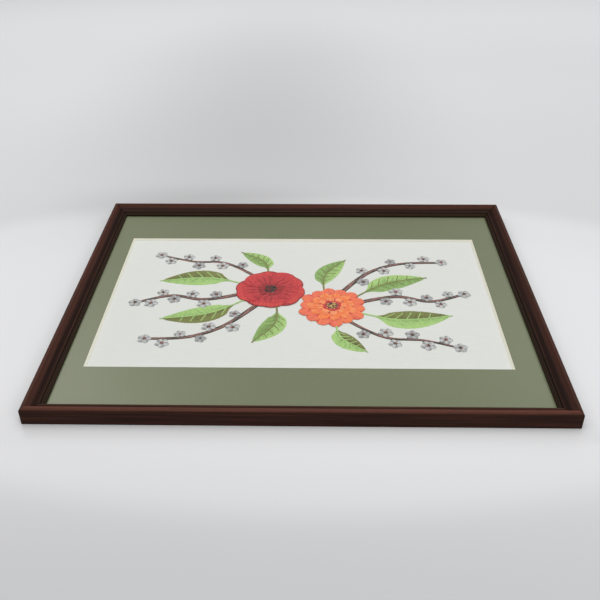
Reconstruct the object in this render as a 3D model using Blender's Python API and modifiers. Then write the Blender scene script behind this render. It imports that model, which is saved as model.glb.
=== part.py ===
"""A framed needlework picture lying face up on its back.

The picture's top end points along -X and its foot along +X. +Z is up, out of its face.
The origin is the middle of the frame's footprint, on the surface that it rests on.
All lengths are in metres.
"""

import math

import bmesh
import bpy
from mathutils import Matrix

# Fits of the whole frame
GAP = 0.0003  # between pieces that touch
BOARD_LONG = 0.508  # the 20 in board that the frame is made for
BOARD_SHORT = 0.4064  # 16 in
BOARD_PLAY = 0.001  # free space round the board, on each side

# Moulding, as a section: inset is measured in from the outer face, height up from the back
RAIL_WIDTH = 0.019
RAIL_HEIGHT = 0.019
REBATE_WIDTH = 0.0065  # the lip's reach over the board
REBATE_HEIGHT = 0.007  # the lip's underside
FOOT_ROUND = 0.0008
CROWN_WIDTH = 0.0044  # from the outer face to the crown's inner edge
CROWN_RISE = 0.0034
CROWN_POWER = 2.2  # 2 is an ellipse, more is squarer
CROWN_EDGE_ROUND = 0.0005
COVE_RADIUS = 0.0138
COVE_START_SLOPE = 59  # degrees down from level, at the crown
COVE_END_SLOPE = 16  # at the fine bead
FINE_BEAD_RADIUS = 0.00105
FINE_BEAD_CENTRE = (0.01405, 0.0120)
QUIRK = (0.01545, 0.0107)  # the bottom of the groove between the beads
SIGHT_BEAD_RADIUS = 0.0009
SIGHT_BEAD_CENTRE = (0.01675, 0.01035)
LIP_TOP = 0.0097
LIP_ROUND = 0.0006

# Mat, cloth and board, stacked down from the lip
MAT_THICK = 0.0022
MAT_BORDER_TOP = 0.0216  # from the lip to the window, at the picture's top end
MAT_BORDER_FOOT = 0.0275
MAT_BORDER_SIDE = 0.0617
CLOTH_THICK = 0.0010
CLOTH_MARGIN = 0.006  # the cloth stops short of the board's edges
BACKING_THICK = 0.0020

# Sizes that follow
OUTER_LONG = BOARD_LONG + 2 * (BOARD_PLAY + RAIL_WIDTH - REBATE_WIDTH)
OUTER_SHORT = BOARD_SHORT + 2 * (BOARD_PLAY + RAIL_WIDTH - REBATE_WIDTH)
MITRE_STEP = GAP / 2 * math.sqrt(2)  # each rail's end stops this far short of the mitre
MAT_TOP_Z = REBATE_HEIGHT - GAP
CLOTH_TOP_Z = MAT_TOP_Z - MAT_THICK - GAP
BACKING_TOP_Z = CLOTH_TOP_Z - CLOTH_THICK - GAP
QUARTER_TURN = math.pi / 2


def clear_scene():
    for old in list(bpy.data.objects):
        bpy.data.objects.remove(old, do_unlink=True)


def new_collection(name, hidden=False):
    collection = bpy.data.collections.new(name)
    collection.hide_render = hidden
    bpy.context.scene.collection.children.link(collection)
    return collection


def finish_material(name, colour, roughness, metallic=0.0):
    """A plain Principled finish; colour is linear RGB."""
    material = bpy.data.materials.new(name)
    material.use_nodes = True
    shader = material.node_tree.nodes["Principled BSDF"]
    shader.inputs["Base Color"].default_value = (*colour, 1.0)
    shader.inputs["Roughness"].default_value = roughness
    shader.inputs["Metallic"].default_value = metallic
    return material


def arc(centre, radius, start_deg, end_deg, steps):
    """Points along a round stretch of the section, both ends included."""
    points = []
    for step in range(steps + 1):
        angle = math.radians(start_deg + (end_deg - start_deg) * step / steps)
        inset = centre[0] + radius * math.cos(angle)
        height = centre[1] + radius * math.sin(angle)
        points.append((inset, height))
    return points


def crown(steps):
    """The rounded top: a squared quarter ellipse, up from the outer face."""
    base = RAIL_HEIGHT - CROWN_RISE
    points = []
    for step in range(steps + 1):
        angle = QUARTER_TURN * step / steps
        back = math.cos(angle) ** (2 / CROWN_POWER) if step < steps else 0.0
        rise = math.sin(angle) ** (2 / CROWN_POWER)
        points.append((CROWN_WIDTH * (1 - back), base + CROWN_RISE * rise))
    return points


def cove(start, steps):
    """The broad hollow from the crown down to the beads; it starts steep and flattens."""
    start_deg = 270 - COVE_START_SLOPE
    centre = (
        start[0] - COVE_RADIUS * math.cos(math.radians(start_deg)),
        start[1] - COVE_RADIUS * math.sin(math.radians(start_deg)),
    )
    return arc(centre, COVE_RADIUS, start_deg, 270 - COVE_END_SLOPE, steps)


def moulding_section():
    """The rail's section, from the back's outer corner, over the top and into the rebate."""
    edge_centre = (CROWN_WIDTH, RAIL_HEIGHT - CROWN_EDGE_ROUND)
    crown_edge = arc(edge_centre, CROWN_EDGE_ROUND, 90, 90 - COVE_START_SLOPE, 3)
    lip_centre = (RAIL_WIDTH - LIP_ROUND, LIP_TOP - LIP_ROUND)
    section = arc((FOOT_ROUND, FOOT_ROUND), FOOT_ROUND, 270, 180, 4)
    section += crown(14)
    section += crown_edge[1:]
    section += cove(crown_edge[-1], 12)[1:]
    section += arc(FINE_BEAD_CENTRE, FINE_BEAD_RADIUS, 165, -35, 8)
    section.append(QUIRK)
    section += arc(SIGHT_BEAD_CENTRE, SIGHT_BEAD_RADIUS, 175, -20, 7)
    section.append((SIGHT_BEAD_CENTRE[0] + SIGHT_BEAD_RADIUS + 0.0002, LIP_TOP))
    section += arc(lip_centre, LIP_ROUND, 90, 0, 4)
    section.append((RAIL_WIDTH, REBATE_HEIGHT))
    section.append((RAIL_WIDTH - REBATE_WIDTH, REBATE_HEIGHT))
    section.append((RAIL_WIDTH - REBATE_WIDTH, 0.0))
    return section


def section_prism(name, section, length):
    """Extrudes a filled section to both sides and returns it as a welded mesh."""
    curve = bpy.data.curves.new(name, "CURVE")
    curve.dimensions = "2D"
    curve.fill_mode = "BOTH"
    curve.extrude = length / 2
    spline = curve.splines.new("POLY")
    spline.points.add(len(section) - 1)
    for point, (inset, height) in zip(spline.points, section):
        point.co = (inset, height, 0.0, 1.0)
    spline.use_cyclic_u = True
    guide = bpy.data.objects.new(name, curve)
    bpy.context.scene.collection.objects.link(guide)
    depsgraph = bpy.context.evaluated_depsgraph_get()
    mesh = bpy.data.meshes.new_from_object(guide.evaluated_get(depsgraph))
    bpy.data.objects.remove(guide, do_unlink=True)
    bpy.data.curves.remove(curve)
    solid = bmesh.new()
    solid.from_mesh(mesh)
    bmesh.ops.remove_doubles(solid, verts=solid.verts, dist=0.000001)
    return mesh, solid


def rail(collection, name, length, offset, turns, material):
    """One side of the frame: its outer face is offset from the middle, turned in quarter turns."""
    mesh, solid = section_prism(name, moulding_section(), length)
    for vert in solid.verts:
        side = math.copysign(1.0, vert.co.z)
        vert.co.z = side * (length / 2 - vert.co.x - MITRE_STEP)
    # The section's inset turns to +Y, its height to +Z and the rail's run to +X.
    lay_down = Matrix(((0, 0, 1, 0), (1, 0, 0, 0), (0, 1, 0, 0), (0, 0, 0, 1)))
    bmesh.ops.transform(solid, matrix=lay_down, verts=solid.verts)
    bmesh.ops.recalc_face_normals(solid, faces=solid.faces)
    solid.to_mesh(mesh)
    solid.free()
    mesh.name = name
    mesh.materials.clear()
    mesh.materials.append(material)
    mesh.shade_smooth()
    mesh.set_sharp_from_angle(angle=math.radians(28))
    piece = bpy.data.objects.new(name, mesh)
    turn = turns * QUARTER_TURN
    piece.rotation_euler = (0.0, 0.0, turn)
    piece.location = (offset * math.sin(turn), -offset * math.cos(turn), 0.0)
    collection.objects.link(piece)
    return piece


def slab(collection, name, size, top_z, thick, material=None):
    """A flat rectangular sheet or board, lying level with its top face at top_z."""
    mesh = bpy.data.meshes.new(name)
    solid = bmesh.new()
    bmesh.ops.create_cube(solid, size=1.0)
    bmesh.ops.scale(solid, vec=(size[0], size[1], thick), verts=solid.verts)
    solid.to_mesh(mesh)
    solid.free()
    if material:
        mesh.materials.append(material)
    piece = bpy.data.objects.new(name, mesh)
    piece.location = (0.0, 0.0, top_z - thick / 2)
    collection.objects.link(piece)
    return piece


def soften_edges(piece, width):
    bevel = piece.modifiers.new("soft_edges", "BEVEL")
    bevel.width = width
    bevel.segments = 2
    bevel.limit_method = "ANGLE"


def window_cutter(collection):
    """A block with sloped sides, wider at the top, that leaves the mat's 45 degree bevel."""
    sight_long = OUTER_LONG - 2 * RAIL_WIDTH
    sight_short = OUTER_SHORT - 2 * RAIL_WIDTH
    window_long = sight_long - MAT_BORDER_TOP - MAT_BORDER_FOOT
    window_short = sight_short - 2 * MAT_BORDER_SIDE
    window_middle = (MAT_BORDER_TOP - MAT_BORDER_FOOT) / 2
    over = MAT_THICK  # the cutter passes both faces of the mat by this much
    mesh = bpy.data.meshes.new("window_cutter")
    block = bmesh.new()
    bmesh.ops.create_cube(block, size=1.0)
    for vert in block.verts:
        flare = over if vert.co.z > 0 else -(MAT_THICK + over)
        vert.co.x *= window_long + 2 * flare
        vert.co.y *= window_short + 2 * flare
        vert.co.z *= MAT_THICK + 2 * over
    block.to_mesh(mesh)
    block.free()
    cutter = bpy.data.objects.new("window_cutter", mesh)
    cutter.location = (window_middle, 0.0, MAT_TOP_Z - MAT_THICK / 2)
    cutter.hide_render = True
    cutter.display_type = "WIRE"
    collection.objects.link(cutter)
    return cutter


def mat(collection, cutters, material):
    """The window mat, a board whose bevelled window shows the cloth."""
    piece = slab(collection, "mat", (BOARD_LONG, BOARD_SHORT), MAT_TOP_Z, MAT_THICK, material)
    cut = piece.modifiers.new("window", "BOOLEAN")
    cut.operation = "DIFFERENCE"
    cut.solver = "EXACT"
    cut.object = window_cutter(cutters)
    return piece


def build():
    clear_scene()
    parts = new_collection("framed_needlework_picture")
    cutters = new_collection("cutters", hidden=True)

    stained_wood = finish_material("stained_wood", (0.075, 0.030, 0.020), 0.42)
    green_mat = finish_material("green_mat", (0.180, 0.205, 0.130), 0.90)
    white_cloth = finish_material("white_cloth", (0.700, 0.710, 0.660), 0.95)
    brown_board = finish_material("brown_board", (0.240, 0.150, 0.085), 0.85)

    centre = bpy.data.objects.new("picture_centre", None)
    parts.objects.link(centre)

    half_long = OUTER_LONG / 2
    half_short = OUTER_SHORT / 2
    pieces = [
        rail(parts, "rail_left", OUTER_LONG, half_short, 0, stained_wood),
        rail(parts, "rail_foot", OUTER_SHORT, half_long, 1, stained_wood),
        rail(parts, "rail_right", OUTER_LONG, half_short, 2, stained_wood),
        rail(parts, "rail_top", OUTER_SHORT, half_long, 3, stained_wood),
        mat(parts, cutters, green_mat),
    ]

    cloth_size = (BOARD_LONG - 2 * CLOTH_MARGIN, BOARD_SHORT - 2 * CLOTH_MARGIN)
    cloth = slab(parts, "cloth", cloth_size, CLOTH_TOP_Z, CLOTH_THICK, white_cloth)
    soften_edges(cloth, 0.0003)
    pieces.append(cloth)

    board_size = (BOARD_LONG, BOARD_SHORT)
    backing = slab(parts, "backing", board_size, BACKING_TOP_Z, BACKING_THICK, brown_board)
    soften_edges(backing, 0.0002)
    pieces.append(backing)

    for piece in pieces:
        piece.parent = centre


build()
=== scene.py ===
# %% [markdown]
# # A framed needlework picture, lying on its back
# A picture framer fits four lengths of stained moulding round a stack of flat things: a window
# mat, the stretched cloth and a back board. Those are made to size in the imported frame, which
# this lesson loads first and never moves. What the lesson adds is the finish of each surface,
# the woven cloth and the stitching.
# The picture lies on its side for the camera: its top end points along -X, its foot along +X,
# its left side is nearest, along -Y, and +Z is up, out of its face. Lengths are in metres.

import math
import random

import bmesh
import bpy
import numpy as np
from mathutils import Matrix, Vector, noise


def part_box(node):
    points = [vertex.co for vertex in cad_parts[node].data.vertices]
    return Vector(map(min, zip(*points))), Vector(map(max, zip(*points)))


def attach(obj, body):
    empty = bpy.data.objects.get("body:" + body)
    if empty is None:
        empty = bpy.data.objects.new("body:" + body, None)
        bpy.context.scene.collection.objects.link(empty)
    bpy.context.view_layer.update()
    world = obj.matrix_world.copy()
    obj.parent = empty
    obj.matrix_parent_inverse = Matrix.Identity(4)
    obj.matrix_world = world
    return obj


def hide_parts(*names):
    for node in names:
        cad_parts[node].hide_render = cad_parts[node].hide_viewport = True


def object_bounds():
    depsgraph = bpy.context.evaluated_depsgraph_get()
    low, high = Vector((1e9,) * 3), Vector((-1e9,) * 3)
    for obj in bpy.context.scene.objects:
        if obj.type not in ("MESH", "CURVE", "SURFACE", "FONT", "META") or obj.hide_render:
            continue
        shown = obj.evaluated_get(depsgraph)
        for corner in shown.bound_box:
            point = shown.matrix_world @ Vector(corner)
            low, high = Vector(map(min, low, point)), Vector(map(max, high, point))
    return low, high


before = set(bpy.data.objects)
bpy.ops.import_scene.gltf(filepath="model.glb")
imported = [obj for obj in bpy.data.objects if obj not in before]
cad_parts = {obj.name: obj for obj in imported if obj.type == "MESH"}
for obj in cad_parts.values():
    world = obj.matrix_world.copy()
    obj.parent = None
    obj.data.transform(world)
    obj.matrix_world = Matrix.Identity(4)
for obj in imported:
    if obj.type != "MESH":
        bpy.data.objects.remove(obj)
cad_low, cad_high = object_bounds()
print("frame, outside, in mm", [round(1000 * side, 1) for side in cad_high - cad_low])

# %% [markdown]
# Blender keeps a mesh, a lens or a lamp apart from the object that has a place in the scene. A
# first small function makes the object and links it in.

# %% A helper for new objects
def add_object(name, data):
    """A new object for a mesh, a camera or a light, linked into the scene."""
    item = bpy.data.objects.new(name, data)
    bpy.context.scene.collection.objects.link(item)
    return item


print("object helper ready")

# %% [markdown]
# ## The camera
# The photograph was taken from in front of the picture's left side, looking down at about
# 34 degrees. The place, the turn and the lens were fitted to the frame's edges. The camera is
# turned in three steps: first about its own axis, then down, then round.

# %% Place the camera
CAMERA_PLACE = Vector((0.0122, -0.7684, 0.5149))
CAMERA_DOWN = math.radians(33.80)
CAMERA_LEFT = math.radians(1.18)
CAMERA_ROLL = math.radians(-0.34)
LENS_MM = 46.83
SENSOR_MM = 36.0

camera_data = bpy.data.cameras.new("camera")
camera_data.lens = LENS_MM
camera_data.sensor_width = SENSOR_MM
camera_data.clip_end = 20.0
camera = add_object("camera", camera_data)
camera.matrix_world = (
    Matrix.Translation(CAMERA_PLACE)
    @ Matrix.Rotation(CAMERA_LEFT, 4, "Z")
    @ Matrix.Rotation(math.pi / 2 - CAMERA_DOWN, 4, "X")
    @ Matrix.Rotation(CAMERA_ROLL, 4, "Z")
)
bpy.context.scene.camera = camera
print("camera at", [round(value, 3) for value in CAMERA_PLACE], "lens", LENS_MM, "mm")

# %% [markdown]
# ## Building materials from small helpers
# A procedural material is a graph of nodes. Written out node by node it hides what it does, so
# short helpers do the wiring. They feed a socket with a number or with another node's output,
# add a node, do arithmetic on numbers and on vectors, and mix two colours.

# %% Helpers for node graphs
def feed(tree, socket, value):
    """Feeds a socket with another socket's output, or sets it to a plain value."""
    if isinstance(value, bpy.types.NodeSocket):
        tree.links.new(value, socket)
    else:
        socket.default_value = value


def feed_named(tree, node, **values):
    """Feeds a node's sockets by name; underscores stand for spaces."""
    for name, value in values.items():
        feed(tree, node.inputs[name.replace("_", " ")], value)


def add_node(tree, kind, *values, **settings):
    """Adds a node with settings such as operation, and feeds its first sockets in order."""
    node = tree.nodes.new(kind)
    for name, value in settings.items():
        setattr(node, name, value)
    for socket, value in zip(node.inputs, values):
        feed(tree, socket, value)
    return node


def maths(tree, operation, *values, clamp=False):
    """One step of arithmetic on numbers or sockets; gives the socket of its result."""
    node = add_node(tree, "ShaderNodeMath", *values, operation=operation, use_clamp=clamp)
    return node.outputs[0]


def times(tree, first, second):
    """The product of two numbers or sockets."""
    return maths(tree, "MULTIPLY", first, second)


def vector_maths(tree, operation, first, second):
    """One step of arithmetic on vectors, axis by axis."""
    return add_node(tree, "ShaderNodeVectorMath", first, second, operation=operation).outputs[0]


def own_place(tree):
    """The place on the piece, in metres from the middle of the picture."""
    return add_node(tree, "ShaderNodeTexCoord").outputs["Object"]


def axes(tree, vector):
    """The three numbers of a vector."""
    return add_node(tree, "ShaderNodeSeparateXYZ", vector).outputs


def blend_colours(tree, share, first, second):
    """Mixes two colours by a share from 0 to 1."""
    node = add_node(tree, "ShaderNodeMix", share, data_type="RGBA")
    for socket, value in zip(node.inputs[6:8], (first, second)):
        feed(tree, socket, value if isinstance(value, bpy.types.NodeSocket) else (*value, 1.0))
    return node.outputs[2]


def remap(tree, value, low, high, new_low=0.0, new_high=1.0, curve="LINEAR"):
    """Carries a range of numbers to another range, held at both ends."""
    numbers = (value, low, high, new_low, new_high)
    return add_node(tree, "ShaderNodeMapRange", *numbers, interpolation_type=curve).outputs[0]


print("helpers ready")

# %% [markdown]
# Colours are easier to compare with a photograph as the 0 to 255 numbers that a picture editor
# shows. Blender's sockets want linear light, so one function does the change.

# %% Colours as a picture editor shows them
def seen(red, green, blue):
    """Linear RGB of a colour given as 0 to 255."""
    linear = []
    for value in (red, green, blue):
        share = value / 255
        linear.append(share / 12.92 if share <= 0.04045 else ((share + 0.055) / 1.055) ** 2.4)
    return tuple(linear)


print("mid grey is", [round(value, 3) for value in seen(128, 128, 128)])

# %% [markdown]
# A group is a graph with named inputs and outputs that several materials share. Here is a
# helper that opens one, and the first group: fine mottling. Paper, board, cloth and lacquer
# all vary a little from place to place, over a few centimetres and over less than a
# millimetre, so the group adds a broad and a fine noise.

# %% The mottling group
def open_group(name, inputs, outputs):
    """A new shader group; inputs are (name, socket kind, value), outputs (name, socket kind)."""
    group = bpy.data.node_groups.new(name, "ShaderNodeTree")
    for label, kind, value in inputs:
        socket = group.interface.new_socket(label, in_out="INPUT", socket_type=kind)
        if value is not None:
            socket.default_value = value
    for label, kind in outputs:
        group.interface.new_socket(label, in_out="OUTPUT", socket_type=kind)
    return group, add_node(group, "NodeGroupInput"), add_node(group, "NodeGroupOutput")


def noise_value(tree, vector, scale, detail=2.0, roughness=0.5):
    """A noise from 0 to 1, about 0.5 on average."""
    node = add_node(tree, "ShaderNodeTexNoise")
    feed_named(tree, node, Vector=vector, Scale=scale, Detail=detail, Roughness=roughness)
    return node.outputs[0]


FLOAT, VECTOR = "NodeSocketFloat", "NodeSocketVector"

mottle, entry, leave = open_group(
    "mottle",
    [("Broad", FLOAT, 20.0), ("Fine", FLOAT, 900.0), ("Strength", FLOAT, 0.1)],
    [("Shade", FLOAT), ("Fine", FLOAT)],
)
place = own_place(mottle)
broad = noise_value(mottle, place, entry.outputs["Broad"], detail=3.0)
fine = noise_value(mottle, place, entry.outputs["Fine"], detail=3.0, roughness=0.6)
centred = maths(mottle, "SUBTRACT", maths(mottle, "ADD", broad, fine), 1.0)
shade = maths(mottle, "MULTIPLY_ADD", centred, entry.outputs["Strength"], 1.0)
feed_named(mottle, leave, Shade=shade, Fine=fine)
print("group", mottle.name, "with", len(mottle.nodes), "nodes")

# %% [markdown]
# All materials start the same way, and most end with a colour that varies a little from place
# to place and with fine relief as bump.

# %% A fresh material with its shader
def open_material(name):
    """A new material, its graph and its Principled shader."""
    material = bpy.data.materials.new(name)
    material.use_nodes = True
    tree = material.node_tree
    return material, tree, tree.nodes["Principled BSDF"]


def add_group(tree, group, **values):
    """Places a group in a graph with its own values."""
    node = add_node(tree, "ShaderNodeGroup", node_tree=group)
    feed_named(tree, node, **values)
    return node


def eased_ramp(tree, value, stops):
    """Carries a number from 0 to 1 along a ramp; a stop is a share and its colour."""
    node = add_node(tree, "ShaderNodeValToRGB", value)
    ramp = node.color_ramp
    ramp.interpolation = "EASE"
    while len(ramp.elements) < len(stops):
        ramp.elements.new(0.5)
    for element, (share, colour) in zip(ramp.elements, stops):
        element.position = share
        element.color = (*colour, 1.0)
    return node.outputs[0]


def tint(tree, shader, colour, shade):
    """Feeds the shader's colour, made lighter or darker by a shade near 1."""
    scaled = add_node(tree, "ShaderNodeVectorMath", colour, operation="SCALE")
    feed_named(tree, scaled, Scale=shade)
    feed_named(tree, shader, Base_Color=scaled.outputs[0])


def bump(tree, shader, height, distance, strength=1.0):
    """Raises the surface's detail by up to this distance, without moving it."""
    node = add_node(tree, "ShaderNodeBump")
    feed_named(tree, node, Distance=distance, Strength=strength, Height=height)
    feed_named(tree, shader, Normal=node.outputs[0])


def dress(node_name, material):
    """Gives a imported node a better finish; its shape stays as it is."""
    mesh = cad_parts[node_name].data
    mesh.materials.clear()
    mesh.materials.append(material)


print("material helpers ready")

# %% [markdown]
# ## The stained moulding
# The four rails are one moulding of pale hardwood, stained a dark red brown and lacquered to a
# satin gloss. Stain gathers in the cove and in the grooves beside the beads, and wears thin on
# the crown. Painted light lies over it: painted shade on the outer face and in the cove, painted
# highlights on the crown and on the tops of the beads and the lip, and towards the lip a painted
# reflection of the green mat. So the finish has to know where on the section it is. The inset
# from the outer face tells it: the smaller of the two distances to the outer edges. It changes
# from one to the other exactly at the mitres, as the grain does.

# %% Sizes of the moulding, from the frame
HALF_LONG, HALF_SHORT, _ = cad_high
rail_low, rail_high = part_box("rail_left")
RAIL_WIDTH = rail_high.y - rail_low.y
print("moulding", round(1000 * RAIL_WIDTH, 1), "by", round(1000 * rail_high.z, 1), "mm")

# %% The group that finds the place on the moulding
moulding_place, entry, leave = open_group(
    "moulding_place",
    [("Mitre width", FLOAT, 0.00022)],
    [("Inset", FLOAT), ("Grain", VECTOR), ("Mitre", FLOAT), ("Tone", FLOAT)],
)
tree = moulding_place
across_x, across_y, height = axes(tree, own_place(tree))
inset_x = maths(tree, "SUBTRACT", HALF_LONG, maths(tree, "ABSOLUTE", across_x))
inset_y = maths(tree, "SUBTRACT", HALF_SHORT, maths(tree, "ABSOLUTE", across_y))
inset = maths(tree, "MINIMUM", inset_x, inset_y)
on_short_rail = maths(tree, "LESS_THAN", inset_x, inset_y)
on_long_rail = maths(tree, "SUBTRACT", 1.0, on_short_rail)
run_long = times(tree, across_x, on_long_rail)
run = maths(tree, "MULTIPLY_ADD", across_y, on_short_rail, run_long)
# Each rail is another length of wood: its grain starts somewhere else, in metres.
SHORT_RAIL_START, LONG_RAIL_START = 3.1, 7.3
side_x = times(tree, maths(tree, "SIGN", across_x), on_short_rail)
side_y = times(tree, maths(tree, "SIGN", across_y), on_long_rail)
long_start = times(tree, side_y, LONG_RAIL_START)
length_start = maths(tree, "MULTIPLY_ADD", side_x, SHORT_RAIL_START, long_start)
# And each rail's colour is scaled lighter or darker: painted light for how the light falls on
# it, the near long rail lightest where it catches the sheen and the foot's rail darkest.
RAIL_LIGHT_LEFT, RAIL_LIGHT_RIGHT, RAIL_LIGHT_TOP, RAIL_LIGHT_FOOT = 1.36, 1.12, 0.92, 0.78
rail_light_long = remap(tree, side_y, -1.0, 1.0, RAIL_LIGHT_LEFT, RAIL_LIGHT_RIGHT)
rail_light_short = remap(tree, side_x, -1.0, 1.0, RAIL_LIGHT_TOP, RAIL_LIGHT_FOOT)
rail_light_gap = maths(tree, "SUBTRACT", rail_light_short, rail_light_long)
# Each rail's painted light, as one number.
tone = maths(tree, "ADD", rail_light_long, times(tree, on_short_rail, rail_light_gap))
grain_run = maths(tree, "ADD", run, length_start)
grain = add_node(tree, "ShaderNodeCombineXYZ", grain_run, inset, height)
from_mitre = maths(tree, "ABSOLUTE", maths(tree, "SUBTRACT", inset_x, inset_y))
mitre = maths(tree, "LESS_THAN", from_mitre, entry.outputs["Mitre width"])
feed_named(tree, leave, Inset=inset, Grain=grain.outputs[0], Mitre=mitre, Tone=tone)
print("group", moulding_place.name, "with", len(tree.nodes), "nodes")

# %% [markdown]
# Wood grain is the same noise seen stretched: long along the rail and very fine across it.
# A second, shorter and finer one gives the pores, the dark dashes that stain leaves in open
# grain.

# %% The grain group
wood_grain, entry, leave = open_group(
    "wood_grain",
    [("Grain", VECTOR, None), ("Streaks per metre", FLOAT, 10.0)],
    [("Streak", FLOAT), ("Pores", FLOAT)],
)
tree = wood_grain
STREAK_SQUEEZE = (1.0, 55.0, 55.0)
PORE_SQUEEZE = (14.0, 330.0, 330.0)
place, per_metre = entry.outputs["Grain"], entry.outputs["Streaks per metre"]
streak_place = vector_maths(tree, "MULTIPLY", place, STREAK_SQUEEZE)
pore_place = vector_maths(tree, "MULTIPLY", place, PORE_SQUEEZE)
streaks = noise_value(tree, streak_place, per_metre, detail=5.0, roughness=0.62)
pores = noise_value(tree, pore_place, per_metre)
streak, pore = remap(tree, streaks, 0.30, 0.70), remap(tree, pores, 0.60, 0.72)
feed_named(tree, leave, Streak=streak, Pores=pore)
print("group", wood_grain.name, "with", len(tree.nodes), "nodes")

# %% The stained wood
# Share of the section's width, and how light the wood is there, from 0 dark to 1 light: stain
# that gathers in the cove and wears thin on the crown, with painted shade on the outer face and
# in the cove and painted highlights on the crown, the beads and the lip.
STAIN_AND_LIGHT_ACROSS = (
    (0.00, 0.12), (0.06, 0.72), (0.24, 0.92), (0.34, 0.80), (0.41, 0.48), (0.48, 0.14),
    (0.57, 0.00), (0.66, 0.10), (0.72, 0.42), (0.75, 0.40), (0.80, 0.08), (0.83, 0.04),
    (0.87, 0.30), (0.90, 0.20), (0.93, 0.34), (0.96, 0.38), (0.985, 0.00),
)
# The dark end also carries the painted shade, the light end the painted highlights.
DEEP_STAIN_AND_SHADE = seen(34, 19, 14)
WORN_STAIN_AND_HIGHLIGHT = seen(75, 51, 41)
RED_STREAK = seen(94, 44, 37)
# Olive brown: the green mat's painted reflection in the wood.
MAT_REFLECTION_OLIVE = seen(48, 42, 29)
PORE_STAIN = seen(22, 14, 11)
# Where the painted reflection of the green mat begins to turn the wood olive and where it is
# full, in metres from the outside.
BEADS_START = 0.0125
LIP_START = 0.0170
# How strongly each effect shows, as a share, and the lacquer's mean roughness.
STREAK_PULL = 0.36
RED_SHARE = 0.60
MAT_REFLECTION_SHARE = 0.5
PORE_SHARE = 0.5
MITRE_SHARE = 0.8
STREAK_RELIEF = 0.4
SATIN_ROUGHNESS = 0.46

stained_wood, tree, shader = open_material("stained_wood")
spot = add_group(tree, moulding_place)
wood = add_group(tree, wood_grain, Grain=spot.outputs["Grain"])
streak, pore, mitre = wood.outputs["Streak"], wood.outputs["Pores"], spot.outputs["Mitre"]
across_share = maths(tree, "DIVIDE", spot.outputs["Inset"], RAIL_WIDTH)
# Stain, wear, painted shade and painted highlights across the section, as one ramp.
stops = [(share, (stop_lightness, stop_lightness, stop_lightness)) for share, stop_lightness in STAIN_AND_LIGHT_ACROSS]
section = eased_ramp(tree, across_share, stops)
streak_pull = maths(tree, "MULTIPLY_ADD", streak, STREAK_PULL, -STREAK_PULL / 2)
wear_and_light = maths(tree, "ADD", section, streak_pull, clamp=True)
stain_and_painted_light = blend_colours(tree, wear_and_light, DEEP_STAIN_AND_SHADE, WORN_STAIN_AND_HIGHLIGHT)
red_share = times(tree, times(tree, wear_and_light, streak), RED_SHARE)
stain_and_painted_light = blend_colours(tree, red_share, stain_and_painted_light, RED_STREAK)
# Towards the lip the wood turns from red brown to olive brown: a painted reflection of the
# green mat.
mat_reflection_share = remap(tree, spot.outputs["Inset"], BEADS_START, LIP_START, 0.0, MAT_REFLECTION_SHARE)
stain_and_painted_light = blend_colours(tree, mat_reflection_share, stain_and_painted_light, MAT_REFLECTION_OLIVE)
pore_share = times(tree, pore, PORE_SHARE)
dark_share = maths(tree, "MAXIMUM", pore_share, times(tree, mitre, MITRE_SHARE))
stain_and_painted_light = blend_colours(tree, dark_share, stain_and_painted_light, PORE_STAIN)
# The colour is scaled by each rail's painted light.
tint(tree, shader, stain_and_painted_light, spot.outputs["Tone"])
cloudy = add_group(tree, mottle, Broad=60.0, Fine=700.0, Strength=0.25)
roughness = times(tree, cloudy.outputs["Shade"], SATIN_ROUGHNESS)
feed_named(tree, shader, Roughness=roughness, Specular_IOR_Level=0.05)
relief = maths(tree, "SUBTRACT", times(tree, streak, STREAK_RELIEF), pore)
bump(tree, shader, maths(tree, "SUBTRACT", relief, mitre), 0.00006)
for rail in ("rail_top", "rail_foot", "rail_left", "rail_right"):
    dress(rail, stained_wood)
print("stained wood on four rails")

# %% [markdown]
# ## The window mat
# A mat is a board of cream pulp faced with coloured paper, and its window is cut at 45 degrees,
# so the cut shows the cream core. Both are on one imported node. The paper is a skin on the top
# face, so a test of the height parts them: what lies within a tenth of a millimetre of the top
# is paper.

# %% The mat's two finishes
mat_low, mat_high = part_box("mat")
PAPER_SKIN = 0.00008
PAPER_GREEN = seen(108, 114, 87)
PAPER_PALE = seen(116, 121, 94)
CORE_CREAM = seen(226, 223, 206)

green_mat, tree, shader = open_material("green_mat")
height = axes(tree, own_place(tree))[2]
on_paper = maths(tree, "GREATER_THAN", height, mat_high.z - PAPER_SKIN)
fibres = add_group(tree, mottle, Broad=9.0, Fine=1600.0, Strength=0.16)
pale_share = remap(tree, fibres.outputs["Fine"], 0.35, 0.65)
paper = blend_colours(tree, pale_share, PAPER_GREEN, PAPER_PALE)
board = blend_colours(tree, on_paper, CORE_CREAM, paper)
tint(tree, shader, board, fibres.outputs["Shade"])
feed_named(tree, shader, Roughness=0.37, Specular_IOR_Level=0.38)
bump(tree, shader, fibres.outputs["Fine"], 0.00005)
dress("mat", green_mat)
print("mat, top face at", round(1000 * mat_high.z, 2), "mm")

# %% [markdown]
# ## The back board
# Pressed wood fibre: brown, with dark and light specks and a faint broad cloudiness.

# %% The pressed fibre board
BOARD_BROWN = seen(133, 104, 74)
BOARD_SPECK = seen(94, 70, 48)

brown_board, tree, shader = open_material("brown_board")
fibres = add_group(tree, mottle, Broad=14.0, Fine=700.0, Strength=0.30)
specks = remap(tree, fibres.outputs["Fine"], 0.50, 0.70)
board = blend_colours(tree, specks, BOARD_BROWN, BOARD_SPECK)
tint(tree, shader, board, fibres.outputs["Shade"])
feed_named(tree, shader, Roughness=0.78)
bump(tree, shader, fibres.outputs["Fine"], 0.00012)
dress("backing", brown_board)
print("back board dressed")

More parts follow.
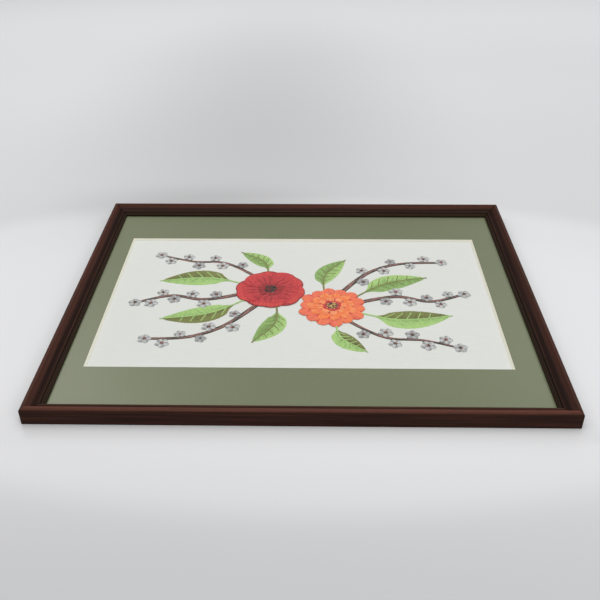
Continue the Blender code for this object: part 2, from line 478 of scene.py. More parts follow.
# %% [markdown]
# ## The woven cloth
# The ground of the needlework is an even white plain weave, stretched flat over the board. One
# thin sheet stands for it. It starts as a grid, gets a slight waviness of a tenth of a
# millimetre, as stretched cloth has between its lacing, and a Solidify modifier gives it its
# thickness. The weave is finer than any mesh should be, so it is bump: two sets of rounded
# threads that pass over and under each other like a chequerboard.

# %% The plain weave group
plain_weave, entry, leave = open_group(
    "plain_weave",
    [("Threads per metre", FLOAT, 1800.0), ("Unevenness", FLOAT, 0.35)],
    [("Height", FLOAT), ("Slub", FLOAT)],
)
tree = plain_weave
place = own_place(tree)
# How far a rising thread stands over a sinking one, as a share of its own height.
CRIMP = 0.35
SLUB_SQUEEZE = (1.0, 14.0, 1.0)
wander = maths(tree, "SUBTRACT", noise_value(tree, place, 260.0), 0.5)
wander = times(tree, wander, entry.outputs["Unevenness"])
run_x, run_y, _ = axes(tree, place)
turns_per_metre = times(tree, entry.outputs["Threads per metre"], math.pi)
warp = maths(tree, "MULTIPLY_ADD", run_x, turns_per_metre, wander)
weft = maths(tree, "MULTIPLY_ADD", run_y, turns_per_metre, wander)
warp_round = maths(tree, "ABSOLUTE", maths(tree, "SINE", warp))
weft_round = maths(tree, "ABSOLUTE", maths(tree, "SINE", weft))
over_under = times(tree, maths(tree, "COSINE", warp), maths(tree, "COSINE", weft))
warp_height = maths(tree, "MULTIPLY_ADD", over_under, CRIMP, warp_round)
weft_height = maths(tree, "MULTIPLY_ADD", over_under, -CRIMP, weft_round)
height = maths(tree, "MAXIMUM", warp_height, weft_height)
slub = noise_value(tree, vector_maths(tree, "MULTIPLY", place, SLUB_SQUEEZE), 90.0)
feed_named(tree, leave, Height=height, Slub=slub)
print("group", plain_weave.name, "with", len(tree.nodes), "nodes")

# %% The white cloth's finish
CLOTH_WHITE = seen(218, 219, 214)
CLOTH_SHADE = seen(213, 214, 208)

white_cloth, tree, shader = open_material("white_cloth")
weave = add_group(tree, plain_weave)
wash = add_group(tree, mottle, Broad=7.0, Fine=500.0, Strength=0.05)
slub_share = remap(tree, weave.outputs["Slub"], 0.3, 0.8)
cloth_colour = blend_colours(tree, slub_share, CLOTH_WHITE, CLOTH_SHADE)
tint(tree, shader, cloth_colour, wash.outputs["Shade"])
feed_named(tree, shader, Roughness=0.92, Specular_IOR_Level=0.2)
feed_named(tree, shader, Sheen_Weight=0.06, Sheen_Roughness=0.5)
bump(tree, shader, weave.outputs["Height"], 0.00010, strength=0.7)
print("white cloth's finish ready")

# %% The stretched cloth
cloth_low, cloth_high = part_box("cloth")
CLOTH_LONG, CLOTH_SHORT, CLOTH_THICK = cloth_high - cloth_low
# The grid's cell, the waves' length and rise, and the gap under the mat, in metres.
CLOTH_CELL = 0.004
WAVE_LENGTH = 0.045
WAVE_RISE = 0.00010
CLOTH_GAP = 0.00004


def cloth_height(x, y):
    """The height of the cloth's face: just under the mat, a little wavy between its lacing."""
    wave = noise.noise(Vector((x / WAVE_LENGTH, y / WAVE_LENGTH, 0.0)))
    return mat_low.z - CLOTH_GAP - WAVE_RISE * (1.0 + wave)


sheet_mesh = bpy.data.meshes.new("stretched_cloth")
sheet = bmesh.new()
bmesh.ops.create_grid(
    sheet,
    x_segments=round(CLOTH_LONG / CLOTH_CELL),
    y_segments=round(CLOTH_SHORT / CLOTH_CELL),
    size=0.5,
)
bmesh.ops.scale(sheet, vec=(CLOTH_LONG, CLOTH_SHORT, 1.0), verts=sheet.verts)
for point in sheet.verts:
    point.co.z = cloth_height(point.co.x, point.co.y)
sheet.to_mesh(sheet_mesh)
sheet.free()
sheet_mesh.materials.append(white_cloth)
sheet_mesh.shade_smooth()
stretched_cloth = add_object("stretched_cloth", sheet_mesh)
thickness = stretched_cloth.modifiers.new("thickness", "SOLIDIFY")
thickness.thickness = CLOTH_THICK - 3 * WAVE_RISE
thickness.offset = -1.0
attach(stretched_cloth, "root")
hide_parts("cloth")
print("cloth", round(1000 * CLOTH_LONG), "by", round(1000 * CLOTH_SHORT), "mm")

# %% [markdown]
# ## One stitch
# A satin stitch is a length of soft twisted thread that comes up through the cloth, lies on it
# and goes down again. Its top is round and its ends dip into the cloth. One low template is
# enough: a grid of a few faces, bent round its length and drawn in at both ends. Every stitch
# of the picture is a copy of it, stretched and turned to its own two ends.

# %% The stitch template
STITCH_ACROSS = 4
STITCH_ALONG = 5
END_SQUARENESS = 5.0
END_SINK = 0.25
END_NARROWING = 0.45

stitch_mesh = bpy.data.meshes.new("one_stitch")
template = bmesh.new()
template.loops.layers.uv.new("along_thread")
bmesh.ops.create_grid(
    template, x_segments=STITCH_ACROSS, y_segments=STITCH_ALONG, size=1.0, calc_uvs=True
)
for point in template.verts:
    across, along = point.co.x, point.co.y
    fullness = math.sqrt(1.0 - min(abs(along), 1.0) ** END_SQUARENESS)
    turn = across * math.pi / 2
    point.co.x = math.sin(turn) * (1.0 - END_NARROWING * (1.0 - fullness))
    point.co.z = math.cos(turn) * fullness - END_SINK * (1.0 - fullness)
template.to_mesh(stitch_mesh)
template.free()
stitch_mesh.shade_smooth()
STITCH_POINTS = np.array([point.co[:] for point in stitch_mesh.vertices])
print("a stitch has", len(STITCH_POINTS), "points and", len(stitch_mesh.polygons), "faces")

# %% [markdown]
# ## The needle
# A needle collects the stitches of one motif: where each starts and ends, in millimetres on the
# picture as it hangs, to the right and up from the window's middle, then its thread, its height
# over the cloth and its plumpness. Sewing copies the template once for each stitch into one
# mesh and carries each copy's points to their own place. Each point takes its thread's colour
# as an attribute, so one material serves every thread, and the template's UV map is stretched
# to the stitch's real size, so the twist is the same on short and long stitches.

# %% Sewing a list of stitches into a mesh
MM = 0.001
WINDOW_MIDDLE_X = -0.00295
# A thread's spacing, width and height, in millimetres.
THREAD_PITCH = 0.95
THREAD_WIDTH = 1.22
THREAD_RISE = 0.50
# How much one stitch differs from the next, in tone as a share and in height in millimetres.
TONE_PLAY = 0.08
LIFT_PLAY = 0.08


class Needle:
    """The stitches of one motif, and its own run of chance."""

    def __init__(self, seed):
        self.chance = random.Random(seed)
        self.rows = []

    def stitch(self, start, end, thread, lift=0.0, width=THREAD_WIDTH, rise=THREAD_RISE):
        """One stitch from start to end, in millimetres on the picture."""
        tone = 1.0 + self.chance.uniform(-TONE_PLAY, TONE_PLAY)
        colour = [channel * tone for channel in SKEINS[thread]]
        lift += self.chance.uniform(0.0, LIFT_PLAY)
        self.rows.append((*start, *end, lift, width, rise, *colour))


def sew(name, needle, material):
    """One mesh of all the needle's stitches, in its place on the cloth."""
    copies = bmesh.new()
    for row in needle.rows:
        copies.from_mesh(stitch_mesh)
    mesh = bpy.data.meshes.new(name)
    copies.to_mesh(mesh)
    copies.free()
    mesh.materials.append(material)

    rows = np.array(needle.rows)
    # The picture's right is +Y and its up is -X.
    start = np.stack([WINDOW_MIDDLE_X - rows[:, 1] * MM, rows[:, 0] * MM], axis=1)
    end = np.stack([WINDOW_MIDDLE_X - rows[:, 3] * MM, rows[:, 2] * MM], axis=1)
    middle = (start + end) / 2
    half = (end - start) / 2
    length = np.maximum(np.linalg.norm(half, axis=1), 1e-6)
    side = np.stack([half[:, 1], -half[:, 0]], axis=1) / length[:, None]
    lift, width, rise = rows[:, 4:7].T * MM
    across, along, up = STITCH_POINTS.T
    flat = (
        middle[:, None, :]
        + half[:, None, :] * along[None, :, None]
        + side[:, None, :] * across[None, :, None] * width[:, None, None] / 2
    )
    ground = np.array([cloth_height(x, y) for x, y in middle])
    height = (ground + lift)[:, None] + up[None, :] * rise[:, None]
    points = np.concatenate([flat, height[:, :, None]], axis=2)
    mesh.vertices.foreach_set("co", points.ravel())
    mesh.update()

    colours = np.ones((len(rows), len(STITCH_POINTS), 4))
    colours[:, :, :3] = rows[:, None, 7:10]
    colour_layer = mesh.attributes.new("thread_colour", "FLOAT_COLOR", "POINT")
    colour_layer.data.foreach_set("color", colours.ravel())
    uv_layer = mesh.uv_layers["along_thread"]
    uv = np.empty(len(mesh.loops) * 2)
    uv_layer.data.foreach_get("uv", uv)
    uv = uv.reshape(len(rows), -1, 2)
    uv[:, :, 0] *= rows[:, None, 5]
    uv[:, :, 1] *= 2 * length[:, None] / MM
    uv_layer.data.foreach_set("uv", uv.ravel())

    piece = add_object(name, mesh)
    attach(piece, "root")
    print(name, len(rows), "stitches,", 2 * len(mesh.polygons), "triangles")
    return piece


print("needle ready")

# %% [markdown]
# ## The thread's finish
# Soft stranded wool: matt, with a slight sheen where the light grazes it, and the plies' twist
# as fine slanting ridges, with painted shade in the grooves between them. The UV map is in
# millimetres, as the twist is.

# %% Stranded thread
TWIST_MM = 1.5
PLY_SLANT = 0.7

stranded_thread, tree, shader = open_material("stranded_thread")
colour = add_node(tree, "ShaderNodeAttribute", attribute_name="thread_colour").outputs["Color"]
thread_map = add_node(tree, "ShaderNodeUVMap", uv_map="along_thread").outputs[0]
across, along, _ = axes(tree, thread_map)
slant = maths(tree, "MULTIPLY_ADD", across, PLY_SLANT, along)
ply = maths(tree, "SINE", times(tree, slant, math.tau / TWIST_MM))
ply = maths(tree, "MULTIPLY_ADD", ply, 0.5, 0.5)
fuzz = add_group(tree, mottle, Broad=160.0, Fine=2600.0, Strength=0.22)
# The grooves between the plies are painted darker, a painted shade, and the fuzz mottles it.
ply_shade_and_fuzz = maths(tree, "MULTIPLY_ADD", ply, 0.14, 0.90)
ply_shade_and_fuzz = times(tree, ply_shade_and_fuzz, fuzz.outputs["Shade"])
tint(tree, shader, colour, ply_shade_and_fuzz)
feed_named(tree, shader, Roughness=0.75, Specular_IOR_Level=0.25)
feed_named(tree, shader, Sheen_Weight=0.12, Sheen_Roughness=0.45)
bump(tree, shader, maths(tree, "ADD", ply, fuzz.outputs["Fine"]), 0.00008, strength=0.8)
print("thread's finish ready")

# %% [markdown]
# ## The skeins
# The threads laid out for the picture: reds and corals for the blooms, three greens and an
# olive for the leaves, charcoal and mauve brown for the sprigs, and greys for their flowers.

# %% Skein colours
SKEIN_SHADES = {
    "wine": (150, 54, 56), "crimson": (184, 64, 68), "red": (200, 70, 72),
    "scarlet": (212, 84, 72), "coral": (232, 118, 92), "orange": (240, 132, 76),
    "apricot": (244, 158, 108), "straw": (226, 186, 112), "spring": (168, 202, 126),
    "leaf": (144, 178, 108), "moss": (126, 154, 90), "olive": (128, 132, 78),
    "fern": (106, 112, 66), "charcoal": (66, 68, 63), "mauve": (162, 112, 106),
    "bark": (126, 98, 84), "silver": (205, 206, 203), "grey": (186, 187, 185),
    "slate": (158, 158, 159),
}
SKEINS = {name: seen(*shade) for name, shade in SKEIN_SHADES.items()}
print(len(SKEINS), "skeins")

# %% [markdown]
# ## Filling a shape with stitches
# Long and short stitch fills a shape in rows. Neighbouring stitches end at different lengths,
# and each stitch of the next row comes up through the end of the one before, so the rows lock
# together and one colour shades into the next. Any shape can be filled by one function, if the
# shape is given as a small map: a share across it and a share along it, both from 0 to 1, to a
# point of the picture.

# %% Long and short stitch
# A stitch starts this share of a row inside the one below it, so that no cloth shows between
# them, and a stitch shorter than this, in millimetres, is left out.
OVERLAP_SHARE = 0.10
SHORTEST_STITCH = 1.2
# Shares of the stitches in a row's first thread and of the shaded ones, and the latter's play.
FIRST_THREAD_SHARE = 0.72
SHADED_SHARE = 0.16
SHADED_PLAY = 0.08


def polar(centre, radius, angle):
    """The point at this distance and angle from a centre."""
    return (centre[0] + radius * math.cos(angle), centre[1] + radius * math.sin(angle))


def distance(first, second):
    return math.hypot(second[0] - first[0], second[1] - first[1])


def path_length(path):
    return sum(distance(a, b) for a, b in zip(path, path[1:]))


def width_at(shape, along, samples=16):
    """The shape's width, measured along a curve that crosses it."""
    return path_length([shape(step / samples, along) for step in range(samples + 1)])


def long_and_short(needle, shape, rows, lift=0.0, tilt=0.0, ragged=0.5):
    """Fills a shape. A row is (share along where it ends, thread, second thread, shaded thread).

    The shaded thread is for the side where the shape tucks under its neighbour, and tilt lifts
    the other side, so that shapes set in a ring all overlap the same way.
    """
    ends = [0.0]
    begin = 0.0
    for number, (finish, thread, other, shaded) in enumerate(rows):
        reach = finish - begin
        count = max(2, round(width_at(shape, (begin + finish) / 2) / THREAD_PITCH))
        new_ends = []
        for index in range(count):
            across = (index + 0.5) / count
            beside = int(across * len(ends))
            start = min(ends[max(beside - 1, 0) : beside + 2])
            start = max(start - OVERLAP_SHARE * reach, 0.0)
            end = finish
            if number < len(rows) - 1:
                end += reach * ragged * needle.chance.uniform(-0.5, 0.5)
            else:
                end *= 1.0 + needle.chance.uniform(-0.018, 0.018)
            new_ends.append(end)
            first, last = shape(across, start), shape(across, end)
            if distance(first, last) < SHORTEST_STITCH:
                continue
            skein = thread if needle.chance.random() < FIRST_THREAD_SHARE else other
            if across < SHADED_SHARE + SHADED_PLAY * needle.chance.random():
                skein = shaded
            needle.stitch(first, last, skein, lift + tilt * across)
        ends = new_ends
        begin = finish


print("long and short stitch ready")

# %% [markdown]
# ## Curved stems
# Stem stitch is a rope of short slanting stitches along a line, each starting beside the middle
# of the one before. A thick stem is several such lines side by side. The lines follow a smooth
# curve through a few chosen points, and a stem of two threads changes from one to the other in
# patches, as bark does.

# %% Stem stitch
# In millimetres: how far apart the lines lie, how far a stitch slants and strays sideways, and
# how long a patch of one thread is. The last number shifts the patches from line to line.
LINE_PITCH = 0.9 * THREAD_PITCH
STEM_SLANT = 0.25 * THREAD_PITCH
STRAY_MM = 0.12
PATCH_MM = 13.0
PATCH_STEP = 1.7


def between(a, b, c, d, t):
    """The number at share t from b to c, on a smooth curve that runs from a to d."""
    first, second, third = c - a, 2 * a - 5 * b + 4 * c - d, 3 * b - a - 3 * c + d
    return b + 0.5 * first * t + 0.5 * second * t**2 + 0.5 * third * t**3


def smooth_path(points, per_span=16):
    """Points along a smooth curve that passes through each given point."""
    padded = [points[0], *points, points[-1]]
    path = []
    for span in zip(padded, padded[1:], padded[2:], padded[3:]):
        for step in range(per_span):
            path.append(tuple(between(*axis, step / per_span) for axis in zip(*span)))
    return [*path, tuple(points[-1])]


def along_path(path, share):
    """The point and the direction at this share of a path's length."""
    target = share * path_length(path)
    for a, b in zip(path, path[1:]):
        step = distance(a, b)
        if step > 0 and (target <= step or b is path[-1]):
            part = min(max(target / step, 0.0), 1.0)
            point = (a[0] + (b[0] - a[0]) * part, a[1] + (b[1] - a[1]) * part)
            return point, math.atan2(b[1] - a[1], b[0] - a[0])
        target -= step
    return path[-1], 0.0


def stem(needle, path, lines, lift=0.0, stitch_mm=5.0, taper=0.0):
    """Lines of stem stitch side by side; each line has one thread or several in patches."""
    length = path_length(path)
    count = max(2, round(2 * length / stitch_mm))
    for row, threads in enumerate(lines):
        offset = (row - (len(lines) - 1) / 2) * LINE_PITCH
        for index in range(count):
            start = (index + 0.5 * (row % 2)) / count
            end = min(start + 2.0 / count, 1.0)
            (point, turn), (other, other_turn) = along_path(path, start), along_path(path, end)
            side = offset * (1.0 - taper * start) + needle.chance.uniform(-STRAY_MM, STRAY_MM)
            patch = int(start * length / PATCH_MM + PATCH_STEP * row)
            needle.stitch(
                polar(point, side - STEM_SLANT, turn + math.pi / 2),
                polar(other, side + STEM_SLANT, other_turn + math.pi / 2),
                threads[patch % len(threads)],
                lift,
            )


print("stem stitch ready")

# %% [markdown]
# ## Petals
# Both blooms use one map of a petal. It follows a straight rib from the bloom's heart, opens
# from a narrow foot to its full width, and ends in a round tip, which may have a small notch.
# The blooms' places are fixed here, because the stems start at their edges.

# %% The map of a petal
def petal(centre, heading, heart, reach, half_width, foot, roundness, notch=0.0):
    """The map of one petal; foot is its width at the heart as a share of its full width."""
    forward = (math.cos(heading), math.sin(heading))

    def shape(across, along):
        side = 2 * across - 1
        opening = foot + (1.0 - foot) * math.sin(math.pi / 2 * min(along / 0.7, 1.0))
        tip = 1.0 - roundness * (1.0 - math.sqrt(1.0 - min(side * side, 1.0)))
        tip -= notch * math.exp(-((side / 0.24) ** 2))
        out = heart + (reach - heart) * along * tip
        sideways = side * half_width * opening
        return (
            centre[0] + forward[0] * out - forward[1] * sideways,
            centre[1] + forward[1] * out + forward[0] * sideways,
        )

    return shape


def outline(needle, shape, thread, lift, tilt):
    """A line of stem stitch round a petal's two sides and its rim."""
    steps = [index / 12 for index in range(13)]
    edge = [shape(0.0, 0.45 + 0.55 * step) for step in steps[:-1]]
    edge += [shape(step, 0.99) for step in steps]
    stem(needle, edge, ((thread,),), lift + 0.12 + tilt / 2, stitch_mm=4.0)


RED_CENTRE = (16.0, 36.0)
RED_REACH = 41.0
CORAL_CENTRE = (-20.0, -37.0)
CORAL_REACH = 39.0
BLOOM_LIFT = 0.35
TUCKED_MM = 8.0


def from_bloom(points):
    """A smooth path through the points, without the part that a bloom would cover."""
    path = smooth_path(points)
    for centre, reach in ((RED_CENTRE, RED_REACH), (CORAL_CENTRE, CORAL_REACH)):
        path = [point for point in path if distance(point, centre) > reach - TUCKED_MM]
    return path


print("petal map ready")

# %% [markdown]
# ## The red bloom
# Five broad petals that overlap all round, like a wild rose's: deep red at the heart, a clear
# red to the rim, and dark veins. Each is sewn higher on one side than on the other, so each
# lies over its neighbour and under the next.

# %% Red petals
RED_HEART = 6.0
RED_HALF_WIDTH = 23.5
RED_TILT = 0.9
RED_ROWS = (
    (0.26, "wine", "crimson", "wine"),
    (0.54, "crimson", "red", "wine"),
    (0.80, "red", "crimson", "crimson"),
    (1.00, "red", "scarlet", "crimson"),
)

red_needle = Needle(11)
for number in range(5):
    heading = 0.42 + number * math.tau / 5
    reach = RED_REACH * (1.0 + 0.05 * math.sin(2.3 * number))
    shape = petal(RED_CENTRE, heading, RED_HEART, reach, RED_HALF_WIDTH, 0.28, 0.46, notch=0.06)
    long_and_short(red_needle, shape, RED_ROWS, BLOOM_LIFT, RED_TILT)
    outline(red_needle, shape, "wine", BLOOM_LIFT, 0.4 * RED_TILT)
    for vein in (0.34, 0.50, 0.66):
        line = [shape(vein + 0.03 * math.sin(9 * step / 6), step / 6) for step in range(5)]
        stem(red_needle, line, (("wine",),), BLOOM_LIFT + 0.25 + RED_TILT * vein, stitch_mm=4.0)
print("red bloom planned,", len(red_needle.rows), "stitches")

# %% [markdown]
# ## The coral bloom
# Narrow petals in three rings, as on a zinnia. Streaks of apricot, orange and coral run their
# length, with red at their roots and a red line down the side of each.

# %% Coral petals
CORAL_HEART = 5.0
OUTER_ROWS = (
    (0.40, "red", "scarlet", "wine"),
    (0.72, "coral", "scarlet", "red"),
    (1.00, "coral", "orange", "scarlet"),
)
MIDDLE_ROWS = (
    (0.42, "scarlet", "red", "red"),
    (0.74, "orange", "coral", "red"),
    (1.00, "orange", "apricot", "scarlet"),
)
INNER_ROWS = (
    (0.50, "red", "scarlet", "wine"),
    (1.00, "apricot", "orange", "red"),
)
# How many petals, first heading, reach, half width, rows, height over the cloth.
RINGS = (
    (14, 0.10, CORAL_REACH, 8.6, OUTER_ROWS, 0.00),
    (11, 0.33, 28.0, 7.2, MIDDLE_ROWS, 0.55),
    (8, 0.05, 17.5, 5.6, INNER_ROWS, 1.00),
)

coral_needle = Needle(23)
for count, first_heading, reach, half_width, rows, lift in RINGS:
    for number in range(count):
        heading = first_heading + number * math.tau / count
        own_reach = reach * (1.0 + 0.05 * math.sin(3.7 * number))
        shape = petal(CORAL_CENTRE, heading, CORAL_HEART, own_reach, half_width, 0.42, 0.30)
        long_and_short(coral_needle, shape, rows, BLOOM_LIFT + lift, 0.45)
print("coral bloom planned,", len(coral_needle.rows), "stitches")

# %% [markdown]
# ## The leaves
# Each leaf is two halves beside a curved rib. Its stitches slant from the rib to the edge,
# towards the tip, in three rows of greens, so that a leaf has a light half and a dark half.
# The rib starts as the leaf's own stalk, at a bloom's edge, and side veins branch off it.

# %% Slanting leaf stitches
LEAF_SLANT = 0.20
STALK_SHARE = 0.16
VEIN_LIFT = 0.22
RIB_LIFT = 0.28


def leaf_half(path, half_width, side):
    """The map of half a leaf: across runs along the rib, along runs from the rib to the edge."""

    def shape(across, along):
        share = 0.97 * across
        edge_share = share + LEAF_SLANT * (1.0 - share) * along
        point, turn = along_path(path, STALK_SHARE + (1.0 - STALK_SHARE) * edge_share)
        fullness = math.sin(math.pi * min(edge_share, 1.0) ** 0.86) ** 0.95
        return polar(point, side * half_width * fullness * along, turn + math.pi / 2)

    return shape


def leaf(needle, points, half_width, light, dark, vein):
    """A whole leaf on a rib through the given points."""
    path = from_bloom(points)
    for side, (near, middle, far) in ((1.0, light), (-1.0, dark)):
        half = leaf_half(path, half_width, side)
        rows = ((0.36, near, middle, near), (0.70, middle, near, middle), (1.0, far, middle, far))
        long_and_short(needle, half, rows, ragged=0.7)
        for number in range(5):
            share = 0.12 + 0.15 * number
            line = [half(share, 0.80 * step / 4) for step in range(5)]
            stem(needle, line, ((vein,),), VEIN_LIFT, stitch_mm=4.5)
    stem(needle, path, ((vein,), (vein,)), RIB_LIFT, stitch_mm=6.0, taper=0.8)


print("leaf stitches ready")

# %% The leaves of the picture
LIGHT_HALF = ("leaf", "spring", "spring")
MID_HALF = ("moss", "leaf", "leaf")
DARK_HALF = ("fern", "olive", "olive")
# Points of the rib, half width, one half's greens, the other's, vein.
LEAVES = (
    (((24, 60), (42, 112), (34, 172)), 17.0, LIGHT_HALF, DARK_HALF, "spring"),
    (((0, 58), (-34, 104), (-46, 160)), 16.0, DARK_HALF, LIGHT_HALF, "spring"),
    (((40, 40), (78, 46), (104, 78)), 12.0, MID_HALF, LIGHT_HALF, "olive"),
    (((-14, 28), (-54, 28), (-90, 52)), 14.0, LIGHT_HALF, MID_HALF, "olive"),
    (((-28, -58), (-45, -112), (-37, -174)), 17.5, DARK_HALF, LIGHT_HALF, "spring"),
    (((-6, -58), (30, -102), (44, -154)), 16.0, LIGHT_HALF, MID_HALF, "olive"),
    (((-44, -40), (-80, -46), (-106, -74)), 12.0, DARK_HALF, LIGHT_HALF, "spring"),
    (((8, -28), (50, -30), (86, -56)), 14.0, MID_HALF, LIGHT_HALF, "olive"),
)
leaf_needle = Needle(37)
for rib_points, half_width, light, dark, vein in LEAVES:
    leaf(leaf_needle, rib_points, half_width, light, dark, vein)
print("leaves planned,", len(leaf_needle.rows), "stitches")

# %% [markdown]
# ## The blooms' hearts
# A heart is a cushion of knots. A knot is a thread wound round the needle: from above a small
# round bead. Short plump stitches, turned every way and laid in rings, stand for it.

# %% Knots in the hearts
# A knot's sizes and the step from ring to ring, in millimetres.
KNOT_WIDTH = 1.6
KNOT_HALF_LENGTH = 0.95
KNOT_RISE = 0.75
RING_STEP = 1.4


def knots(needle, centre, radius, threads, lift):
    """Rings of small plump stitches, from the middle of a bloom outwards."""
    ring = 0.0
    while ring <= radius:
        count = max(1, round(math.tau * ring / KNOT_WIDTH))
        for index in range(count):
            angle = math.tau * index / count + needle.chance.uniform(-0.2, 0.2)
            point = polar(centre, ring, angle)
            thread = needle.chance.choice(threads)
            turn = needle.chance.uniform(0, math.pi)
            first = polar(point, -KNOT_HALF_LENGTH, turn)
            last = polar(point, KNOT_HALF_LENGTH, turn)
            needle.stitch(first, last, thread, lift, KNOT_WIDTH, KNOT_RISE)
        ring += RING_STEP


knots(red_needle, RED_CENTRE, RED_HEART + 2.0, ("charcoal", "charcoal", "wine"), 1.15)
knots(coral_needle, CORAL_CENTRE, CORAL_HEART + 2.0, ("bark", "charcoal", "straw"), 1.55)
print("hearts knotted")

# %% [markdown]
# ## Sprigs and small flowers
# Dark stems wander out to both ends of the picture, charcoal with patches of mauve brown, and
# carry small grey flowers on short stalks, as forget-me-nots do. Each of a flower's five petals
# is padded satin stitch: parallel stitches across a disc, plumper in the middle than at its
# rim. A few knots make the heart.

# %% Small flowers on a sprig
# Padded stitches lie this much closer than others, and the middle one stands up by this much.
PADDED_SHARE = 0.85
PADDING_MM = 0.5
FLOWER_LIFT = 0.25
FLOWER_RADIUS = 8.0
STALK_MM = 3.0
SPRIG_FLOWERS = 6
LEAN = math.radians(50)


def padded_disc(needle, centre, radius, turn, threads, lift):
    """A padded disc of parallel stitches, lighter on one side."""
    count = max(5, round(2 * radius / (THREAD_PITCH * PADDED_SHARE)))
    for index in range(count):
        side = 2 * (index + 0.5) / count - 1
        roundness = math.sqrt(1 - side * side)
        chord = radius * roundness
        middle = polar(centre, side * radius * PADDED_SHARE, turn + math.pi / 2)
        first, last = polar(middle, -chord, turn), polar(middle, chord, turn)
        thread = threads[min(int((side + 1) / 2 * len(threads)), len(threads) - 1)]
        needle.stitch(first, last, thread, lift, rise=THREAD_RISE + PADDING_MM * roundness)


def small_flower(needle, centre, radius, turn, threads):
    """Five padded petals round a heart of knots."""
    for number in range(5):
        heading = turn + (number + 0.5) * math.tau / 5
        seat = polar(centre, 0.60 * radius, heading)
        padded_disc(needle, seat, 0.43 * radius, heading, threads, FLOWER_LIFT)
    knots(needle, centre, 0.20 * radius, ("charcoal", "mauve", "bark"), FLOWER_LIFT + 0.4)


def sprig(needle, points, lines):
    """A curved stem with flowers set alternately along it and one at its tip."""
    path = from_bloom(points)
    stem(needle, path, lines, stitch_mm=5.5, taper=0.45)
    for number in range(SPRIG_FLOWERS):
        share = 0.18 + 0.66 * number / (SPRIG_FLOWERS - 1)
        point, turn = along_path(path, share)
        lean = turn + (LEAN if number % 2 else -LEAN)
        size = FLOWER_RADIUS * needle.chance.uniform(0.84, 1.10)
        seat = polar(point, STALK_MM + size, lean)
        stem(needle, [point, seat], (("charcoal",), ("mauve", "charcoal")), stitch_mm=4.0)
        tones = ("silver", "grey", "slate") if number % 3 else ("grey", "slate", "slate")
        small_flower(needle, seat, size, lean, tones)
    tip, turn = along_path(path, 1.0)
    seat = polar(tip, FLOWER_RADIUS * 0.5, turn)
    small_flower(needle, seat, FLOWER_RADIUS, turn, ("grey", "grey", "slate"))


DARK_PATCHES = ("charcoal", "charcoal", "mauve")
WARM_PATCHES = ("mauve", "bark", "charcoal")
BARK_PATCHES = ("mauve", "bark")
SLIGHT = (("charcoal",), DARK_PATCHES, WARM_PATCHES, BARK_PATCHES, DARK_PATCHES)
STRONG = (*SLIGHT, WARM_PATCHES, ("charcoal",))
SPRIGS = (
    (((10, 60), (-6, 112), (2, 152), (-12, 190)), STRONG),
    (((38, 48), (76, 94), (80, 136), (94, 176)), SLIGHT),
    (((-8, 44), (-58, 84), (-80, 122), (-84, 166)), STRONG),
    (((-14, -60), (2, -112), (-8, -152), (6, -190)), STRONG),
    (((-42, -48), (-78, -92), (-84, -136), (-96, -170)), SLIGHT),
    (((4, -44), (54, -82), (76, -122), (80, -172)), STRONG),
)
sprig_needle = Needle(53)
for stem_points, lines in SPRIGS:
    sprig(sprig_needle, stem_points, lines)
print("sprigs planned,", len(sprig_needle.rows), "stitches")

# %% Sew the motifs
stitched = [
    sew("stitched_sprigs", sprig_needle, stranded_thread),
    sew("stitched_leaves", leaf_needle, stranded_thread),
    sew("stitched_coral_bloom", coral_needle, stranded_thread),
    sew("stitched_red_bloom", red_needle, stranded_thread),
]
faces = sum(len(piece.data.polygons) for piece in stitched)
print("stitches in all", faces // len(stitch_mesh.polygons))

# %% [markdown]
# ## The pale floor and the light
# The picture lies on a sweep of white paper under broad soft light. The floor is one plain
# sheet whose colour holds painted light and shade: brightest round the picture, a little greyer
# further out, and soft painted shadows behind and in front of the picture. Most of the light
# comes from a large panel straight overhead, so the near side of the frame stays dark. Two
# weak panels behind give the mat's paper a faint sheen, and one in front on the right fills
# the shadow along the near rail.

# %% Floor
FLOOR_HALF = 4.0
FLOOR_MIDDLE = (0.0, -0.03, 0.0)
FLOOR_SQUEEZE = (0.5, 1.0, 0.0)
# Distance from the middle in metres, and the grey painted there as a picture editor shows it:
# painted light on the pale paper, brightest round the picture, greyest just beyond it and
# lighter again far out.
PAINTED_LIGHT_GREYS = (
    (0.0, 228), (0.18, 225), (0.27, 221), (0.32, 210), (0.42, 211), (0.90, 216), (1.50, 226),
)
FLOOR_REACH = PAINTED_LIGHT_GREYS[-1][0]
# Painted shadows on the paper, each by its middle, reach and depth: a broad one behind the
# picture, a long one in front of it and a small one, the frame's own shadow, close behind the
# far rail.
PAINTED_SHADOWS = (
    ((-0.09, 0.56), (0.44, 1.00), 0.20),
    ((-0.05, -0.42), (1.50, 0.19), 0.15),
    ((-0.15, 0.24), (0.26, 0.10), 0.20),
)

floor_mesh = bpy.data.meshes.new("floor")
sweep = bmesh.new()
bmesh.ops.create_grid(sweep, x_segments=8, y_segments=8, size=FLOOR_HALF)
sweep.to_mesh(floor_mesh)
sweep.free()
floor = add_object("floor", floor_mesh)
pale_paper, tree, shader = open_material("pale_paper")


def distance_from(tree, middle, squeeze):
    """Distance from a point, with each axis squeezed by its own share."""
    centred = vector_maths(tree, "SUBTRACT", own_place(tree), middle)
    squeezed = vector_maths(tree, "MULTIPLY", centred, squeeze)
    return add_node(tree, "ShaderNodeVectorMath", squeezed, operation="LENGTH").outputs["Value"]


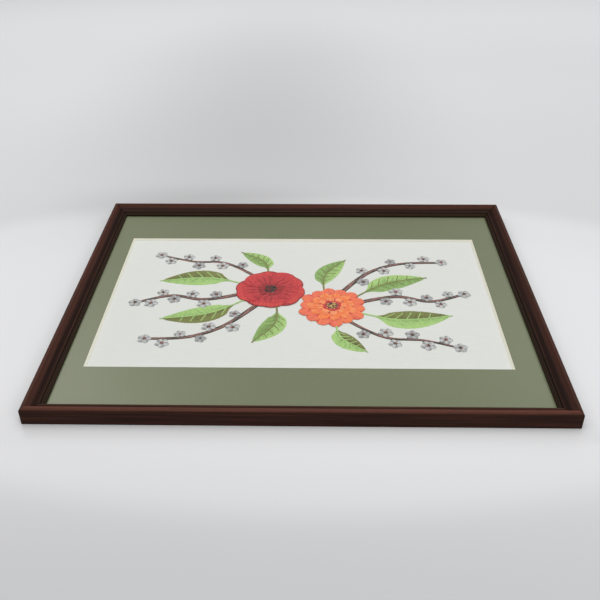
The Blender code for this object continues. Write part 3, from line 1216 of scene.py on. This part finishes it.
far_out = distance_from(tree, FLOOR_MIDDLE, FLOOR_SQUEEZE)
far_share = maths(tree, "DIVIDE", far_out, FLOOR_REACH)
stops = [(far / FLOOR_REACH, seen(grey, grey, grey + 1)) for far, grey in PAINTED_LIGHT_GREYS]
painted_light_greys = eased_ramp(tree, far_share, stops)
# The painted shadows, multiplied into one painted shade.
shade = 1.0
for (shade_x, shade_y), (reach_x, reach_y), depth in PAINTED_SHADOWS:
    away = distance_from(tree, (shade_x, shade_y, 0.0), (1 / reach_x, 1 / reach_y, 0.0))
    one_painted_shadow = remap(tree, away, 0.0, 1.0, 1.0 - depth, 1.0, curve="SMOOTHSTEP")
    shade = times(tree, shade, one_painted_shadow)
tint(tree, shader, painted_light_greys, shade)
feed_named(tree, shader, Roughness=0.9, Specular_IOR_Level=0.2)
floor_mesh.materials.append(pale_paper)
print("floor laid")

# %% Light
NEUTRAL, WARM = (1.0, 1.0, 1.0), (1.0, 0.995, 0.985)
# Name, place, size in metres, watts, colour.
PANELS = (
    ("overhead_panel", (-0.12, 0.05, 2.40), (3.0, 2.2), 38.5, WARM),
    ("left_sheen_panel", (-0.95, 1.25, 1.35), (0.6, 0.4), 5.5, NEUTRAL),
    ("right_sheen_panel", (1.05, 1.55, 1.05), (0.5, 0.4), 3.0, NEUTRAL),
    ("front_panel", (1.1, -1.5, 1.4), (1.0, 0.8), 9.0, NEUTRAL),
)
for name, place, size, watts, colour in PANELS:
    lamp = bpy.data.lights.new(name, "AREA")
    lamp.shape = "RECTANGLE"
    lamp.size, lamp.size_y = size
    lamp.energy = watts
    lamp.color = colour
    panel = add_object(name, lamp)
    panel.location = place
    # A panel shines along its own -Z, so its +Z is turned away from the picture's middle.
    panel.rotation_euler = Vector(place).to_track_quat("Z", "Y").to_euler()
world = bpy.data.worlds.new("studio")
world.use_nodes = True
sky = world.node_tree.nodes["Background"]
feed_named(world.node_tree, sky, Color=(0.96, 0.98, 1.0, 1.0), Strength=0.38)
bpy.context.scene.world = world
bpy.context.scene.view_settings.view_transform = "Standard"
print("light set")
